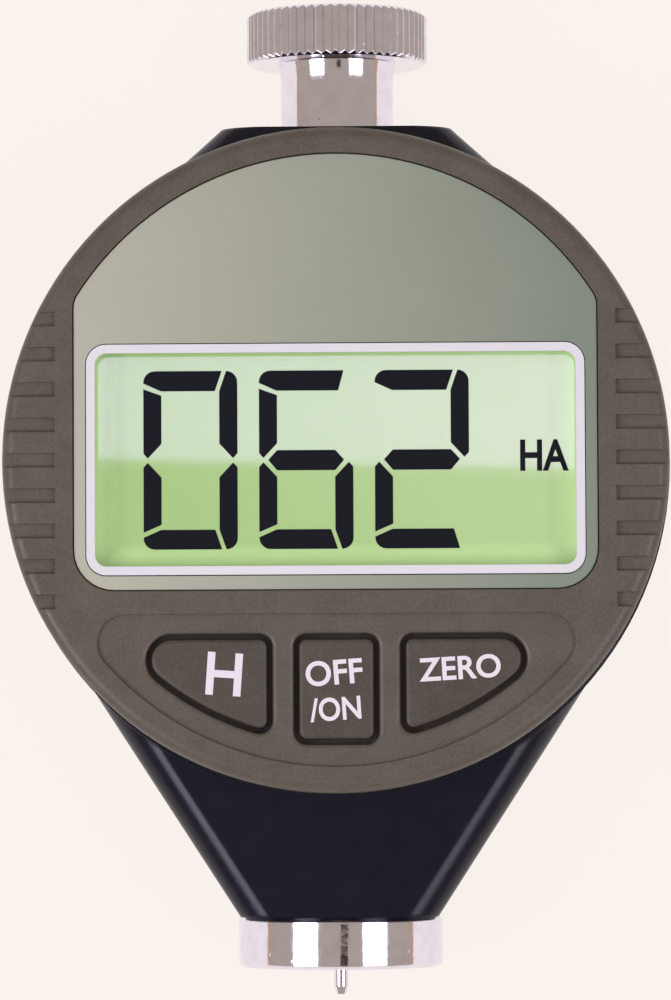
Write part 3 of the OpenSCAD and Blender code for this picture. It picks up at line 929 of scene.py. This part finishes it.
class Segment(Enum):
    """A digit's bars; the long ones stand where no upright bar follows at their right."""

    TOP = Bar(((0, 85), (0, 0), (545, 0), (497, 140), (122, 140)), (1,))
    UPPER_LEFT = Bar(((0, 125), (125, 170), (125, 505), (30, 607), (0, 573)))
    UPPER_RIGHT = Bar(((575, 0), (653, 0), (653, 572), (622, 607), (527, 505), (527, 140)), (1,))
    MIDDLE = Bar(((63, 621), (125, 553), (528, 553), (590, 621), (528, 694), (125, 694)))
    LOWER_LEFT = Bar(((30, 637), (125, 740), (125, 1068), (0, 1122), (0, 670)))
    LOWER_RIGHT = Bar(((622, 637), (653, 670), (653, 1240), (575, 1240), (527, 1105), (527, 740)),
                      (2,))
    BOTTOM = Bar(((0, 1157), (0, 1240), (545, 1240), (497, 1103), (122, 1103)), (1,))
    LONG_TOP = Bar(((0, 85), (0, 0), (588, 0), (550, 140), (122, 140)), (1,))
    LONG_BOTTOM = Bar(((0, 1157), (0, 1240), (588, 1240), (545, 1103), (122, 1103)), (1,))


class Numeral(Enum):
    """Numerals that the display shows, by their bars."""

    ZERO = (Segment.TOP, Segment.UPPER_LEFT, Segment.UPPER_RIGHT, Segment.LOWER_LEFT,
            Segment.LOWER_RIGHT, Segment.BOTTOM)
    TWO = (Segment.TOP, Segment.UPPER_RIGHT, Segment.MIDDLE, Segment.LOWER_LEFT,
           Segment.LONG_BOTTOM)
    SIX = (Segment.LONG_TOP, Segment.UPPER_LEFT, Segment.MIDDLE, Segment.LOWER_LEFT,
           Segment.LOWER_RIGHT, Segment.BOTTOM)


@dataclass
class LiquidCrystal(Assembly):
    """The display glass with its three numerals and the unit mark.

    Attributes:
        step: Step of the digits' grid.
        left: Left side of the first numeral.
        top: Upper side of the numerals.
        pitch: From one numeral to the next.
        film: Thickness of the numerals.
        lift: Their height over the glass.
        corner: Rounding of the soft corners, in steps.
        corner_sides: Sides of a rounded corner.
        reading: The numerals from left to right, each with its piece's name.
        unit: The unit mark.
    """

    step: float = 0.01234
    left: float = -16.47
    top: float = 7.7
    pitch: float = 9.91
    film: float = 0.012
    lift: float = 0.004
    corner: float = 78.0
    corner_sides: int = 5
    reading: tuple[tuple[str, Numeral], ...] = (
        ("digit_left", Numeral.ZERO), ("digit_middle", Numeral.SIX), ("digit_right", Numeral.TWO))
    unit: Lettering = Lettering("unit_mark", "HA", (17.85, 0.33), 2.7, 4.15, weight=0.024)

    COATS: ClassVar[dict[Finish, tuple[str, ...]]] = {
        Finish.DISPLAY: ("lcd_panel",),
        Finish.RUBBER: ("lcd_connectors",)}

    def add_bar(self, shape: BMesh, bar: Bar, origin: Vector) -> None:
        """Add one bar to a numeral.

        Args:
            shape: The numeral's mesh.
            bar: The bar.
            origin: Upper left corner of the numeral on the glass, in metres.
        """
        scale = self.step * MM
        corners = [shape.verts.new(origin + Vector((x * scale, -y * scale, 0.0)))
                   for x, y in bar.outline]
        shape.faces.new(corners)
        if bar.soft:
            bmesh.ops.bevel(shape, geom=[corners[i] for i in bar.soft], offset=self.corner * scale,
                            segments=self.corner_sides, profile=0.5, affect="VERTICES",
                            material=-1)

    def numeral(self, numeral: Numeral, place: int, level: float) -> BMesh:
        """Shape one numeral.

        Args:
            numeral: What it shows.
            place: Its place from the left.
            level: Height of the glass.

        Returns:
            The numeral as thin solids.
        """
        shape = bmesh.new()
        origin = Vector((self.left + self.pitch * place, self.top, level + self.lift)) * MM
        for segment in numeral.value:
            self.add_bar(shape, segment.value, origin)
        flat = bmesh.ops.extrude_face_region(shape, geom=list(shape.faces))
        raised = [v for v in flat["geom"] if isinstance(v, BMVert)]
        bmesh.ops.translate(shape, verts=raised, vec=(0, 0, self.film * MM))
        return shape

    def build(self, nodes: CadNodes) -> list[Piece]:
        """Make the numerals and the unit mark on the glass.

        Args:
            nodes: The CAD nodes; not used.

        Returns:
            The new pieces.
        """
        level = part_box("lcd_panel")[1][2] / MM
        shapes = {name: self.numeral(numeral, place, level)
                  for place, (name, numeral) in enumerate(self.reading)}
        shapes[self.unit.name] = self.unit.shape(level + self.lift)
        return [Piece(name, shape, Finish.DIGIT, Body.CASE, Slot.DISPLAY)
                for name, shape in shapes.items()]


@dataclass
class Keypad(Assembly):
    """The three keys with their printed words, and the mat under them.

    Attributes:
        legends: The words, each with the key it is printed on and that key's body.
    """

    legends: tuple[tuple[Lettering, str, Body], ...] = (
        (Lettering("legend_hold", "H", (-9.54, -18.3), 3.65, 3.0, -4.0, 0.017),
         "hold_key", Body.HOLD),
        (Lettering("legend_off", "OFF", (-0.2, -18.2), 2.15, 4.85, 4.2), "power_key", Body.POWER),
        (Lettering("legend_on", "/ON", (-0.1, -21.3), 2.0, 4.35, 3.8), "power_key", Body.POWER),
        (Lettering("legend_zero", "ZERO", (10.5, -17.85), 2.02, 6.95, 3.3),
         "zero_key", Body.ZERO))

    COATS: ClassVar[dict[Finish, tuple[str, ...]]] = {
        Finish.KEY: ("hold_key", "power_key", "zero_key"),
        Finish.RUBBER: ("keypad_mat",)}

    def build(self, nodes: CadNodes) -> list[Piece]:
        """Print the words on the keys.

        Args:
            nodes: The CAD nodes; not used.

        Returns:
            The new pieces.
        """
        pieces = []
        for legend, node, body in self.legends:
            shape = legend.shape(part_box(node)[1][2] / MM)
            pieces.append(Piece(legend.name, shape, Finish.LEGEND, body, Slot.WHITE))
        return pieces


@dataclass
class Works(Assembly):
    """Spindle, spring and what rides on them inside the casting.

    Attributes:
        spring_end: The end of the spring that stays in its place.
        spring_keep: Share of its length that the pressed spring keeps; not used.
    """

    spring_end: Point3 = (0.0, 19.9, 9.3)
    spring_keep: float = 0.841

    COATS: ClassVar[dict[Finish, tuple[str, ...]]] = {
        Finish.STEEL: ("spindle", "stop_collar", "collar_screw", "carrier_screw",
                       "calibrated_spring"),
        Finish.BRASS: ("spring_seat", "spring_adjuster", "upper_bush", "lower_bush"),
        Finish.WINDOW_FRAME: ("scale_carrier",),
        Finish.BOARD: ("scale_plate",)}

    def build(self, nodes: CadNodes) -> list[Piece]:
        """Put a copy of the spring in place of the rigid one.

        Args:
            nodes: The CAD nodes.

        Returns:
            The new piece.
        """
        coil = bmesh.new()
        coil.from_mesh(nodes["calibrated_spring"].data)
        spring = Piece("spring_coil", coil, Finish.STEEL, Body.CASE, Slot.STEEL)
        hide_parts("calibrated_spring")
        anchor = tuple(value * MM for value in self.spring_end)
        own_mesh(spring.object)
        return [spring]


@dataclass
class CastBody(Assembly):
    """The black casting with its back cover, battery and cap."""

    COATS: ClassVar[dict[Finish, tuple[str, ...]]] = {
        Finish.BODY: ("frame_casting", "back_cover"),
        Finish.DARK_PLASTIC: ("battery_cap", "battery_holder"),
        Finish.STEEL: ("cover_screws", "battery"),
        Finish.BRASS: ("battery_contact",)}


@dataclass
class Brightwork(Assembly):
    """The chrome knob and presser foot with the indenter."""

    COATS: ClassVar[dict[Finish, tuple[str, ...]]] = {
        Finish.CHROME: ("handle", "presser_foot", "indenter")}


@dataclass
class DisplayModule(Assembly):
    """The grey housing with its silver panel, window and boards."""

    COATS: ClassVar[dict[Finish, tuple[str, ...]]] = {
        Finish.HOUSING: ("front_housing",),
        Finish.PANEL: ("face_panel",),
        Finish.WINDOW_FRAME: ("window_frame",),
        Finish.WINDOW: ("display_window",),
        Finish.BOARD: ("main_board",),
        Finish.DARK_PLASTIC: ("controller_chip",),
        Finish.STEEL: ("board_screws", "housing_screws")}


@dataclass(frozen=True)
class Softbox:
    """A square lamp that points at a place on the tool.

    Attributes:
        name: The lamp's name.
        place: Where it hangs.
        aim: What it points at.
        width: Width of its cloth.
        height: Height of its cloth.
        power: Power in watts.
        colour: Its light.
        mirrored: Whether bright surfaces show the cloth itself.
        turn: Turn of the cloth in degrees, counter-clockwise.
        only: The nodes that it lights, or none for all of them.
    """

    name: str
    place: Point3
    aim: Point3
    width: float
    height: float
    power: float
    colour: Colour = (1.0, 0.925, 1.085)
    mirrored: bool = True
    turn: float = 0.0
    only: tuple[str, ...] = ()

    def hang(self, nodes: CadNodes) -> None:
        """Make the lamp.

        Args:
            nodes: The CAD nodes.
        """
        lamp = bpy.data.lights.new(self.name, "AREA")
        lamp.shape = "RECTANGLE"
        lamp.size = self.width * MM
        lamp.size_y = self.height * MM
        lamp.energy = self.power
        lamp.color = self.colour
        holder = bpy.data.objects.new(self.name, lamp)
        bpy.context.scene.collection.objects.link(holder)
        holder.location = Vector(self.place) * MM
        holder.rotation_euler = (aimed(self.place, self.aim) @ turned(self.turn)).to_euler()
        holder.visible_camera = False
        holder.visible_glossy = self.mirrored
        if self.only:
            lit = bpy.data.collections.new(self.name + "_lights")
            for name in self.only:
                lit.objects.link(nodes[name])
            holder.light_linking.receiver_collection = lit


@dataclass
class Studio:
    """Floor, dark card, lamps, room and camera.

    Attributes:
        backdrop: Colour of the floor and of what the camera sees behind it.
        room: Light of the room.
        horizon: Light of the room near the horizon.
        horizon_rise: Slopes between which the horizon's light gives way to the room's.
        floor_size: Radius of the floor.
        floor_hole: Radius of the hole in it, which the tool covers.
        floor_sides: Sides of the hole.
        felt: The dark card's finish.
        flag_place: Middle of the dark card.
        flag_size: Width and height of the dark card.
        eye: Where the camera stands.
        aim: What it looks at.
        roll: Its roll in degrees, clockwise.
        focal_px: Its focal length in pixels of the photograph.
        image_h: Height of the photograph in pixels.
        film_h: Height of its film.
        clip_m: Nearest distance that it sees, in metres.
        lamps: The lamps; the two cards are what the display mirrors to the camera.
    """

    backdrop: Colour = tone(250, 243, 237)
    room: Colour = (0.45, 0.395, 0.33)
    horizon: Colour = (0.52, 0.36, 0.24)
    horizon_rise: Point = (0.04, 0.16)
    floor_size: float = 6000.0
    floor_hole: float = 24.0
    floor_sides: int = 96
    felt: CardFelt = CardFelt("dark_card", tone(44, 38, 28), tone(70, 62, 46))
    flag_place: Point3 = (36.0, -92.0, 460.0)
    flag_size: Point = (66.0, 74.0)
    eye: Point3 = (7.4, -25.0, 455.4)
    aim: Point3 = (0.0, -3.54, 27.4)
    roll: float = 0.27
    focal_px: float = 5036.0
    image_h: float = 1000.0
    film_h: float = 36.0
    clip_m: float = 0.01
    lamps: tuple[Softbox, ...] = (
        Softbox("softbox_left", (-380, -150, 470), (0, -80, 20), 300, 360, 1.85),
        Softbox("softbox_right", (380, -150, 470), (0, -80, 20), 300, 360, 1.2),
        Softbox("fill_above", (0, -40, 640), (0, 0, 0), 420, 420, 0.7, mirrored=False),
        Softbox("card_near", (-7, 34, 459), (-7, 34, 0), 110, 19, 0.024, (0.91, 0.6, 1.3),
                turn=-1.5, only=("lcd_panel",)),
        Softbox("card_far", (-7, 58, 459), (-7, 58, 0), 110, 29, 0.0255, (0.91, 0.6, 1.25),
                turn=-1.5, only=("lcd_panel",)))

    def floor(self) -> None:
        """Lay the pale floor, which keeps the tool's shadow and shows its back from below."""
        sheet = bmesh.new()
        bmesh.ops.create_circle(sheet, segments=self.floor_sides, radius=self.floor_hole * MM)
        ring = bmesh.ops.extrude_edge_only(sheet, edges=list(sheet.edges))["geom"]
        outer = [v for v in ring if isinstance(v, BMVert)]
        bmesh.ops.scale(sheet, verts=outer, vec=[self.floor_size / self.floor_hole] * 3)
        sheet.normal_update()
        bmesh.ops.reverse_faces(sheet, faces=[f for f in sheet.faces if f.normal.z < 0.0])
        paper = FloorPaper("pale_floor", self.backdrop)
        put("floor", sheet, paper.material())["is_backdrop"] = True

    def flag(self) -> None:
        """Hang a dark card by the lens, which only bright surfaces show."""
        card = bmesh.new()
        bmesh.ops.create_grid(card, x_segments=1, y_segments=1, size=0.5)
        bmesh.ops.scale(card, verts=card.verts, vec=(*(side * MM for side in self.flag_size), 1.0))
        bmesh.ops.translate(card, verts=card.verts, vec=Vector(self.flag_place) * MM)
        flag = put("flag", card, self.felt.material())
        flag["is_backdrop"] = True
        flag.visible_camera = flag.visible_diffuse = False
        flag.visible_transmission = flag.visible_shadow = False

    def room_light(self) -> None:
        """Fill the room with dim light, warmer near the horizon; the camera sees the backdrop."""
        world = bpy.data.worlds.new("room")
        world.use_nodes = True
        nodes = Nodes(world.node_tree)
        way = nodes.add("TexCoord").outputs["Generated"]
        rise = nodes.span(nodes.math("ABSOLUTE", nodes.axis(way, "Z")), *self.horizon_rise)
        light = nodes.blend(rise, self.horizon, self.room)
        seen = nodes.add("LightPath").outputs["Is Camera Ray"]
        sky = nodes.add("Background", Color=nodes.blend(seen, light, self.backdrop), Strength=1.0)
        nodes.add("OutputWorld", Surface=sky.outputs[0])
        bpy.context.scene.world = world

    def camera(self) -> None:
        """Set the camera at the photograph's viewing angle."""
        lens = bpy.data.cameras.new("camera")
        lens.sensor_fit = "VERTICAL"
        lens.sensor_height = self.film_h
        lens.lens = self.focal_px / self.image_h * self.film_h
        lens.clip_start = self.clip_m
        lens.dof.use_dof = False
        holder = bpy.data.objects.new("camera", lens)
        bpy.context.scene.collection.objects.link(holder)
        holder.location = Vector(self.eye) * MM
        holder.rotation_euler = (aimed(self.eye, self.aim) @ turned(-self.roll)).to_euler()
        bpy.context.scene.camera = holder

    def build(self, nodes: CadNodes) -> None:
        """Make the whole studio.

        Args:
            nodes: The CAD nodes.
        """
        self.floor()
        self.flag()
        self.room_light()
        for lamp in self.lamps:
            lamp.hang(nodes)
        self.camera()
        bpy.context.scene.view_settings.view_transform = "Standard"


def main() -> None:
    """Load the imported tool, set up the studio, then build and dress each sub-assembly."""
    logging.basicConfig(level=logging.INFO, format="%(name)s: %(message)s")
    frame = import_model()
    cad_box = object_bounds()
    nodes = frame["nodes"]
    Studio().build(nodes)
    for assembly in (LiquidCrystal(), Keypad(), Works(), CastBody(), Brightwork(), DisplayModule()):
        LOG.info("sub-assembly %s", type(assembly).__name__)
        for piece in assembly.build(nodes):
            LOG.info("piece %s rides on %s", piece.object.name, piece.body.value)
        for name, finish in assembly.dress(nodes):
            LOG.info("node %s wears %s", name, finish.value.name)
    boxes = {"cad": cad_box, "visual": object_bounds()}
    {key: [list(corner) for corner in box] for key, box in boxes.items()}


if __name__ == "__main__":
    main()
